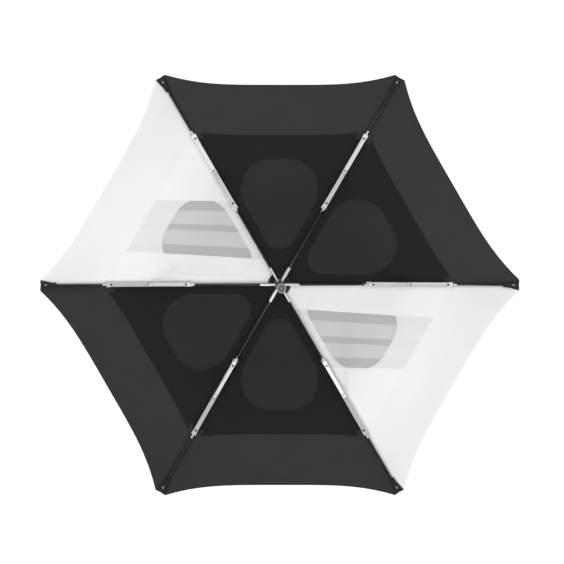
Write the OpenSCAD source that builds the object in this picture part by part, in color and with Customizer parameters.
// Golf umbrella with a straight handle, six ribs and a double, vented canopy.
// +Z runs up the shaft. The origin is the centre of the handle's lower end.
// Rib 1 lies along +X, and the others follow every 60 degrees about the shaft.

/* [Shaft and handle] */
// Outer diameter of the shaft tube
shaft_d = 14; // [12:0.5:16]
// Wall of the shaft tube
shaft_wall = 1.4; // [1:0.2:2]
// Height of the rib hinges above the handle's end
hinge_z = 1000; // [980:5:1040]
// Diameter of the straight part of the grip
grip_d = 26; // [24:0.5:30]
// Length of the straight part of the grip
grip_straight = 86; // [70:1:90]
// Height of the top of the handle
handle_top = 130; // [124:1:132]

/* [Frame] */
// Radius of the circle of hinge pins, on the crown and on the runner
hinge_r = 14; // [13.5:0.5:16]
// Radius at which the inner rods enter their channels
inner_joint_r = 276; // [250:1:290]
// Radius at which the rib channels end
outer_joint_r = 538; // [500:1:560]
// Slope of the ribs' inner rods, in degrees
inner_slope = 16; // [14:0.5:18]
// Slope of the rib channels, in degrees
channel_slope = 23.5; // [21:0.5:26]
// How far an outer rod bends down before its straight tip, in degrees
outer_turn = 16.5; // [12:0.5:18]
// Radius of that bend
outer_bend_r = 530; // [500:10:600]
// Straight end of an outer rod, held in its tip pocket
tip_straight = 60; // [56:1:70]
// Diameter of the rods
rod_d = 5.5; // [5:0.1:6]
// Diameter of the hinge ferrules
ferrule_d = 7.8; // [7:0.1:8]
// Width of a rib channel
channel_w = 13; // [12:0.5:14]
// Width of a stretcher channel
stretcher_w = 9; // [8:0.5:9]

/* [Canopy] */
// Thickness of each layer of cloth, with its seams
cloth_t = 1.2; // [1:0.1:1.5]
// Height of the cloth over the ribs' middle line at the crown
lift_at_crown = 10; // [9.5:0.5:11]
// Height of the cloth over the ribs' middle line at the tips
lift_at_tip = 8; // [7:0.5:9]
// Height of the upper layer over the lower one
layer_step = 2; // [1.6:0.1:3]
// Distance of the hem from the shaft at the middle of a panel
hem_x = 609; // [600:1:620]
// How far the hem runs out towards a rib's tip
hem_curve = 36; // [30:1:40]
// How far a panel sinks between its ribs
panel_sag = 12; // [0:1:16]
// Rib radius at which the upper layer ends
upper_edge_r = 540; // [500:2:560]
// How far the upper layer's edge curves in at the middle of a panel
upper_curve = 12; // [0:1:24]
// Radius of a vent opening's narrow end
vent_nose_r = 51.5; // [48:0.5:54]
// Distance of the narrow end's centre from the shaft
vent_nose_mid = 161.5; // [158:0.5:166]
// Radius of the corners at its wide end
vent_corner_r = 95; // [80:1:100]
// Distance of the wide end from the shaft
vent_out = 392; // [385:1:400]

/* [Hidden] */
$fn = 48;
RIBS = 6;
RIB_STEP = 360 / RIBS;
HALF = RIB_STEP / 2;
GAP = 0.3;              // space between neighbouring pieces of cloth
FIT = 0.03;             // space round a rod in its fitting
RUN = 0.08;             // running space round a hinge pin
shaft_r = shaft_d / 2;
bore_r = shaft_r - shaft_wall;
grip_r = grip_d / 2;
rod_r = rod_d / 2;
pin_r = 1.1;
pin_half = 5.5;
tongue_w = 4.6;
slot_w = 5.4;
tongue_r = 3;
notch_r = 17;
ferrule_start = 5.2;
ferrule_taper = 14;
ferrule_end = 48;
socket_start = 22;      // where the rod's socket begins, and the rod 1 mm on
nub_len = 13;
shoulder_len = 12;
inner_reach = 8;        // how far an inner rod goes into its shoulder
stub = 7;               // how far the other rods stand out of theirs, inside the channel

// Points of a rib in its own plane, as [distance from the shaft, height over the hinges].
rib_o = [hinge_r, 0];
rib_c1 = [inner_joint_r, -(inner_joint_r - hinge_r) * tan(inner_slope)];
rib_c2 = [outer_joint_r, rib_c1[1] - (outer_joint_r - inner_joint_r) * tan(channel_slope)];
rib_m = (rib_c1 + rib_c2) / 2;
run_p = [hinge_r, 2 * rib_m[1]];
rib_b = rib_c2 + nub_len * [cos(channel_slope), -sin(channel_slope)];
bend_chord = 2 * outer_bend_r * sin(outer_turn / 2);
bend_mid_slope = channel_slope + outer_turn / 2;
end_slope = channel_slope + outer_turn;
rib_e = rib_b + bend_chord * [cos(bend_mid_slope), -sin(bend_mid_slope)];
rib_tip = rib_e + tip_straight * [cos(end_slope), -sin(end_slope)];
runner_z = hinge_z + run_p[1];
stretcher_len = norm(rib_m - run_p);
stretcher_joint = (inner_joint_r - hinge_r) / (rib_m[0] - hinge_r) * stretcher_len;

// The cloth over a rib follows its slopes, with the change at the channel's inner end and the
// outer rod's bend both rounded off.
s1 = rib_c1[0] - hinge_r;
s3 = rib_tip[0] - hinge_r;
t0 = tan(inner_slope);
t1 = tan(channel_slope);
t3 = tan(end_slope);
bend_run = (rib_b[1] - rib_e[1] - t1 * (rib_e[0] - rib_b[0])) / (t3 - t1);
s2 = rib_e[0] - bend_run - hinge_r;
function round_off(x, w) = x <= -w ? 0 : x >= w ? x : pow(x + w, 2) / (4 * w);
function cloth_line(s) =
    -t0 * s - (t1 - t0) * round_off(s - s1, 30) - (t3 - t1) * round_off(s - s2, bend_run);
function lift(s) = lift_at_crown + (lift_at_tip - lift_at_crown) * s / s3;
function over_rib(r) = cloth_line(r - hinge_r) + lift(r - hinge_r);
hub_slope = over_rib(hinge_r) - over_rib(hinge_r + 1);

// Sets its children in the plane of rib k, with the hinge circle's height as zero.
module in_rib_plane(k) rotate([0, 0, (k - 1) * RIB_STEP]) translate([0, 0, hinge_z]) children();

// Turns Z along the line from a to b; X then points down from it, away from the cloth.
module along(a, b) {
    d = b - a;
    translate([a[0], 0, a[1]]) rotate([0, atan2(d[0], d[1]), 0]) children();
}

module tube(r_out, r_in, h) difference() {
    cylinder(r = r_out, h = h);
    translate([0, 0, -1]) cylinder(r = r_in, h = h + 2);
}

module cross_hole(r, half) rotate([90, 0, 0]) cylinder(r = r, h = 2 * half, center = true);

// A ferrule whose flat tongue turns on a hinge pin, and whose socket takes a rod.
module hinge_ferrule() difference() {
    union() {
        rotate([90, 0, 0]) cylinder(r = tongue_r, h = tongue_w, center = true);
        translate([-tongue_r, -tongue_w / 2, 0]) cube([2 * tongue_r, tongue_w, ferrule_start + 1]);
        translate([0, 0, ferrule_start]) cylinder(r1 = tongue_w / 2, d2 = ferrule_d, h = ferrule_taper);
        translate([0, 0, ferrule_start + ferrule_taper])
            cylinder(d = ferrule_d, h = ferrule_end - ferrule_start - ferrule_taper);
    }
    cross_hole(pin_r + RUN, 10);
    translate([0, 0, socket_start]) cylinder(r = rod_r + FIT, h = ferrule_end);
}

// The end of a channel: a solid shoulder, and a round nub turned by an angle towards the rod
// that comes in. The rod's bore runs on into the shoulder, and a small hole goes right through.
module channel_end(w, depth, turn, bore) difference() {
    union() {
        translate([-depth / 2, -w / 2 - 1, 0]) cube([depth, w + 2, shoulder_len]);
        rotate([0, turn, 0]) translate([0, 0, -nub_len]) cylinder(r = rod_r + 1.1, h = nub_len + 1);
    }
    rotate([0, turn, 0]) translate([0, 0, -nub_len - 1])
        cylinder(r = rod_r + FIT, h = nub_len + 1 + bore);
    cylinder(r = 1.3, h = shoulder_len + 1);
}

// A U section from z0 to z1 with its web on the cloth's side.
module channel(w, depth, wall, web, z0, z1) difference() {
    translate([-depth / 2, -w / 2, z0]) cube([depth, w, z1 - z0]);
    translate([-depth / 2 + web, -w / 2 + wall, z0 - 1]) cube([depth, w - 2 * wall, z1 - z0 + 2]);
}

// ---- shaft, crown and handle ----

module shaft_tube() color("#2a2a2c") difference() {
    translate([0, 0, 12]) tube(shaft_r, bore_r, hinge_z + 18 - 12);
    translate([0, 2, handle_top - 21]) cube([5, shaft_d, 22], center = true);
    translate([0, 2, handle_top + 10]) cube([5, shaft_d, 14], center = true);
}

module hub_ring(core_r, z0, z1) difference() {
    translate([0, 0, z0]) cylinder(r = notch_r, h = z1 - z0);
    translate([0, 0, z0 - 1]) cylinder(r = shaft_r + FIT, h = z1 - z0 + 2);
    for (k = [0:RIBS - 1]) rotate([0, 0, k * RIB_STEP]) {
        translate([core_r, -slot_w / 2, z0 - 1]) cube([notch_r, slot_w, z1 - z0 + 2]);
        translate([hinge_r, 0, 0]) cross_hole(pin_r + 0.02, pin_half + 0.1);
    }
}

module hub_pins(z) color("#b9bcc0") for (k = [0:RIBS - 1])
    rotate([0, 0, k * RIB_STEP]) translate([hinge_r, 0, z]) cross_hole(pin_r, pin_half);

module crown_notch() color("#202022") translate([0, 0, hinge_z]) hub_ring(10.6, -4, 4);

module crown_pins() hub_pins(hinge_z);

module top_ferrule() color("#1c1c1e") translate([0, 0, hinge_z + 18.2]) {
    cylinder(r1 = shaft_r + 3, r2 = shaft_r + 1, h = 6);
    translate([0, 0, 6]) cylinder(r1 = shaft_r + 1, r2 = 5.5, h = 24);
    translate([0, 0, 30]) cylinder(r1 = 5.5, r2 = 3.5, h = 3);
    translate([0, 0, -14]) cylinder(r = bore_r - FIT, h = 14.5);
}

// A cone shell round the shaft that runs with the cloth near the crown.
module hub_cone(r_in, r_out, z, t) translate([0, 0, hinge_z + z]) rotate_extrude() polygon([
    [r_in, hub_slope * (hinge_r - r_in)], [r_out, hub_slope * (hinge_r - r_out)],
    [r_out, hub_slope * (hinge_r - r_out) + t], [r_in, hub_slope * (hinge_r - r_in) + t]]);

module cap_washer() color("#1c1c1e")
    hub_cone(shaft_r + 0.05, 24, lift_at_crown + layer_step + cloth_t + GAP, 2);

module inner_rosette() color("#161616") intersection() {
    teeth = 34;
    hub_cone(shaft_r + 0.3, 39, 5, 0.8);
    translate([0, 0, hinge_z - 20]) linear_extrude(50) polygon([for (i = [0:2 * teeth - 1])
        let (r = i % 2 == 0 ? 38.5 : 35, a = i * 180 / teeth) r * [cos(a), sin(a)]]);
}

module handle_core() color("#1b1b1c") difference() {
    union() {
        translate([0, 0, 6]) cylinder(r = 10, h = grip_straight + 10);
        translate([0, 0, grip_straight + 9]) cylinder(r1 = 10, r2 = 12, h = 5);
        translate([0, 0, grip_straight + 14]) cylinder(r = 12, h = handle_top - 6 - grip_straight - 14);
        translate([0, 0, handle_top - 6]) cylinder(r1 = 12, r2 = 9, h = 6);
    }
    translate([0, 0, 11.9]) cylinder(r = shaft_r + FIT, h = handle_top);
    translate([0, grip_r - 3, handle_top - 21]) cube([7.4, 14, 14.4], center = true);
}

// Rubber sleeve over the core, with shallow rings cut round it near its top.
module handle_grip() color("#242425") difference() {
    union() {
        translate([0, 0, 6]) cylinder(r = grip_r, h = grip_straight);
        translate([0, 0, 6 + grip_straight]) cylinder(r1 = grip_r, r2 = grip_r - 1.5, h = 3);
    }
    translate([0, 0, 5]) cylinder(r = 10 + FIT, h = grip_straight + 12);
}

module handle_end_ring() color("#8d8f92") difference() {
    union() {
        translate([0, 0, 1.5]) cylinder(r = grip_r, h = 4.4);
        cylinder(r1 = grip_r - 1.5, r2 = grip_r, h = 1.5);
    }
    translate([0, 0, -1]) cylinder(r = 9.3, h = 8);
}

module handle_end_disc() color("#0f0f10") cylinder(r = 9.25, h = 5.9);

// Solid wire through rings of points, each ring with the same number of sides.
module swept(points, sides) {
    rings = len(points) / sides - 1;
    skin = [for (i = [0:rings - 1], j = [0:sides - 1])
        let (a = i * sides + j, b = i * sides + (j + 1) % sides) each
            [[a, b + sides, a + sides], [a, b, b + sides]]];
    first = [for (j = [sides - 1:-1:0]) j];
    last = [for (j = [0:sides - 1]) rings * sides + j];
    polyhedron(points, concat(skin, [first, last]));
}

// Coil on the Z axis, as one swept wire.
module coil(r, wire_r, turns, h, sides, steps) swept([
    for (i = [0:turns * steps], j = [0:sides - 1])
        let (a = i * 360 / steps, b = j * 360 / sides, rr = r + wire_r * cos(b))
            [rr * cos(a), rr * sin(a), h * i / (turns * steps) + wire_r * sin(b)]], sides);

module opening_spring() color("#c4c6c9")
    translate([0, 0, runner_z + 40]) coil(bore_r - 1.3, 0.7, 26, 190, 5, 10);

module spring_plug() color("#3a3a3c") {
    translate([0, 0, runner_z + 232]) cylinder(r = bore_r - 0.1, h = 10);
    translate([0, 0, runner_z + 26]) cylinder(r = bore_r - 0.1, h = 12);
}

// ---- the button and its catch, which slide along Y ----

button_z = handle_top - 21;
module open_button() color("#9a9c9f") {
    translate([0, 11.2, button_z]) rotate([-90, 0, 0]) cylinder(d1 = 6.8, d2 = 6.2, h = 2.4);
    translate([0, 7.8, button_z]) rotate([-90, 0, 0]) cylinder(d = 3, h = 3.5);
}

// A flat steel strip inside the tube: the button pushes its foot, and its finger stands out
// of the slot above the handle.
module catch_finger() color("#aeb1b5") {
    translate([-1.9, 3.9, button_z - 4]) cube([3.8, 1.1, 40]);
    translate([-1.9, 4.9, button_z - 2]) cube([3.8, 2.85, 4]);
    translate([-1.9, 4.9, handle_top + 5]) cube([3.8, 3.4, 5]);
}

module button_spring() color("#c4c6c9")
    translate([0, -3.6, button_z]) rotate([-90, 0, 0]) coil(2.2, 0.35, 5, 6.8, 5, 10);

// ---- runner ----

module runner_sleeve() color("#1f1f21") difference() {
    translate([0, 0, runner_z]) {
        difference() {
            union() {
                hub_ring(10.6, -5, 3);
                translate([0, 0, -42]) cylinder(r = 10.5, h = 40);
                translate([0, 0, -42]) cylinder(r = 12.2, h = 5);
            }
            translate([0, 0, -50]) cylinder(r = shaft_r + 0.25, h = 60);
            translate([-3, 0, -43]) cube([6, 9, 18]);
        }
    }
}

module runner_pins() hub_pins(runner_z);

// ---- one rib ----

module rib_rods(k) color("#141415") in_rib_plane(k) {
    // the inner rod, from its ferrule into the channel's shoulder
    along(rib_o, rib_c1) translate([0, 0, socket_start + 1])
        cylinder(r = rod_r, h = norm(rib_c1 - rib_o) - socket_start - 1 + inner_reach);
    // the outer rod: a straight root through the shoulder, a bend, and a straight tip
    sides = 16;
    bend_steps = 8;
    root = rib_c2 - (shoulder_len + stub) * [cos(channel_slope), -sin(channel_slope)];
    path = concat(
        [[root[0], root[1], channel_slope]],
        [for (i = [0:bend_steps]) let (a = channel_slope + outer_turn * i / bend_steps)
            [rib_b[0] + outer_bend_r * (sin(a) - sin(channel_slope)),
             rib_b[1] + outer_bend_r * (cos(a) - cos(channel_slope)), a]],
        [[rib_tip[0], rib_tip[1], end_slope]]);
    swept([for (p = path, j = [0:sides - 1]) let (b = j * 360 / sides)
        [p[0] + rod_r * cos(b) * sin(p[2]), rod_r * sin(b), p[1] + rod_r * cos(b) * cos(p[2])]], sides);
}

module rib_channel(k) color("#b4b7ba") in_rib_plane(k) {
    len = norm(rib_c2 - rib_c1);
    along(rib_o, rib_c1) hinge_ferrule();
    along(rib_c1, rib_c2) {
        difference() {
            channel(channel_w, 9, 1, 1, shoulder_len - 1, len - shoulder_len + 1);
            translate([0, 0, len / 2]) cross_hole(pin_r + 0.02, 20);
        }
        translate([0, 0, len / 2]) cross_hole(pin_r, channel_w / 2 + 0.6);
        channel_end(channel_w, 9, inner_slope - channel_slope, inner_reach + 0.1);
        translate([0, 0, len]) rotate([0, 180, 0])
            channel_end(channel_w, 9, 0, shoulder_len + 1);
    }
}

module stretcher_rod(k) color("#141415") in_rib_plane(k) along(run_p, rib_m)
    translate([0, 0, socket_start + 1])
        cylinder(r = rod_r, h = stretcher_joint - socket_start - 1 + shoulder_len + stub);

module stretcher_channel(k) color("#c2c5c8") in_rib_plane(k) along(run_p, rib_m) {
    hinge_ferrule();
    translate([0, 0, stretcher_joint]) channel_end(stretcher_w, 6.6, 0, shoulder_len + 1);
    difference() {
        union() {
            channel(stretcher_w, 6.6, 1, 0.5, stretcher_joint + shoulder_len - 1, stretcher_len - 6);
            translate([-3.3, -stretcher_w / 2, stretcher_len - 8]) cube([6.6, stretcher_w, 8]);
            translate([0, 0, stretcher_len]) rotate([90, 0, 0])
                cylinder(r = 3.3, h = stretcher_w, center = true);
        }
        translate([0, 0, stretcher_len]) cross_hole(pin_r + RUN, 20);
    }
}

// Pouch over the rod's end: a sleeve round the rod, and a flap under it that widens to the
// corner of the canopy.
module tip_pocket(k) color("#101011") in_rib_plane(k) along(rib_e, rib_tip) difference() {
    end = tip_straight + 3.5;
    union() {
        translate([0, 0, 5]) cylinder(r = rod_r + 0.9, h = end - 5);
        translate([1.8, 0, 0]) rotate([0, -90, 0]) linear_extrude(1.6, center = true) polygon([
            [5, -4], [8, -6.5], [24, -7.5], [end, -15.5], [end, 15.5], [24, 7.5], [8, 6.5], [5, 4]]);
    }
    translate([0, 0, -1]) cylinder(r = rod_r + FIT, h = tip_straight + 1.1);
}

// ---- canopy ----

// Half width of a vent opening at distance x from the shaft along the panel's middle: a round
// narrow end, straight sides parallel to the ribs, and a wide end with round corners.
vent_in = vent_nose_mid - vent_nose_r;
vent_corner_x = vent_out - vent_corner_r;
vent_side_x = vent_nose_mid - vent_nose_r * sin(HALF);
vent_turn_x = vent_corner_x - vent_corner_r * sin(HALF);
vent_side_y = vent_nose_r * cos(HALF);
vent_flat = vent_side_y + (vent_turn_x - vent_side_x) * tan(HALF) - vent_corner_r * cos(HALF);
function vent_half(x) =
    x <= vent_in || x >= vent_out ? 0 :
    x < vent_side_x ? sqrt(pow(vent_nose_r, 2) - pow(x - vent_nose_mid, 2)) :
    x < vent_turn_x ? vent_side_y + (x - vent_side_x) * tan(HALF) :
    vent_flat + sqrt(pow(vent_corner_r, 2) - pow(x - vent_corner_x, 2));

// Height of the cloth at x along a panel's middle and y across it.
function cloth_z(x, y) = let (t = y / (x * tan(HALF)), q = min(1, x / hem_x))
    over_rib(x / cos(HALF)) - panel_sag * (1 - t * t) * q * q * (3 - 2 * q);

// Grid of one gore: rows of distances along the panel's middle, from the vent's edge or the
// middle of one panel, over the rib, to the same place in the next panel. The corner at the
// rib's tip is cut straight across.
corner_r = rib_tip[0] + 2;
function gore_rows(rows, across, vented, edge_x, curve, power) = [for (i = [0:len(rows) - 1]) [
    for (j = [-across:across])
        let (n = abs(j), f = n == 0 ? 0 : 0.05 + 0.95 * (n - 1) / (across - 1),
             x0 = rows[i][0], reach = rows[i][1],
             x1 = x0 + reach * (edge_x - curve * (1 - pow(1 - f, power)) - x0),
             inner = max(vented ? vent_half(x1) : 0, GAP / 2),
             y1 = x1 * tan(HALF) * (1 - f) + inner * f,
             cut = min(1, corner_r / (x1 * cos(HALF) + y1 * sin(HALF))),
             x = x1 * cut, y = y1 * cut,
             side = j < 0 ? -1 : 1,
             z = cloth_z(x, y), turn = side * HALF)
        [x * cos(turn) + side * y * sin(turn), x * sin(turn) - side * y * cos(turn), z]]];

// Closed sheet of thickness t over a grid of points.
module sheet(grid, t) {
    n = len(grid) - 1;
    m = len(grid[0]) - 1;
    low = [for (row = grid) each row];
    w = m + 1;
    up = len(low);
    points = concat(low, [for (p = low) p + [0, 0, t]]);
    function quad(a, b, c, d) = [[a, b, c], [a, c, d]];
    faces = concat(
        [for (i = [0:n - 1], j = [0:m - 1]) let (a = i * w + j) each
            quad(up + a, up + a + 1, up + a + w + 1, up + a + w)],
        [for (i = [0:n - 1], j = [0:m - 1]) let (a = i * w + j) each
            quad(a, a + w, a + w + 1, a + 1)],
        [for (i = [0:n - 1]) let (a = i * w) each quad(a, up + a, up + a + w, a + w)],
        [for (i = [0:n - 1]) let (a = i * w + m) each quad(a, a + w, up + a + w, up + a)],
        [for (j = [0:m - 1]) each quad(j, j + 1, up + j + 1, up + j)],
        [for (j = [0:m - 1]) let (a = n * w + j) each quad(a, up + a, up + a + 1, a + 1)]);
    polyhedron(points, faces);
}

cloth_hole = (shaft_r + 1.2) * cos(HALF);
vent_steps = 12;
lower_rows = concat(
    [for (i = [0:2]) [cloth_hole + (vent_in - cloth_hole) * i / 3, 0]],
    [for (i = [0:vent_steps])
        [(vent_in + vent_out) / 2 - (vent_out - vent_in) / 2 * cos(180 * i / vent_steps), 0]],
    [for (i = [1:6]) [vent_out, i / 6]]);
upper_x = upper_edge_r * cos(HALF);
upper_rows = [for (i = [0:9]) [cloth_hole, i / 9]];

module canopy_lower(k) color((k == 1 || k == 4) ? "#dedfe1" : "#2b2a29") in_rib_plane(k)
    sheet(gore_rows(lower_rows, 5, true, hem_x + hem_curve, hem_curve, 4), cloth_t);

module canopy_upper(k) color("#313030") in_rib_plane(k) translate([0, 0, layer_step])
    sheet(gore_rows(upper_rows, 5, false, upper_x, upper_curve, 2), cloth_t);

shaft_tube();
crown_notch();
crown_pins();
top_ferrule();
cap_washer();
inner_rosette();
handle_core();
handle_grip();
handle_end_ring();
handle_end_disc();
opening_spring();
spring_plug();
open_button();
catch_finger();
button_spring();
runner_sleeve();
runner_pins();
for (k = [1:RIBS]) {
    rib_rods(k);
    rib_channel(k);
    stretcher_rod(k);
    stretcher_channel(k);
    tip_pocket(k);
    canopy_lower(k);
    canopy_upper(k);
}
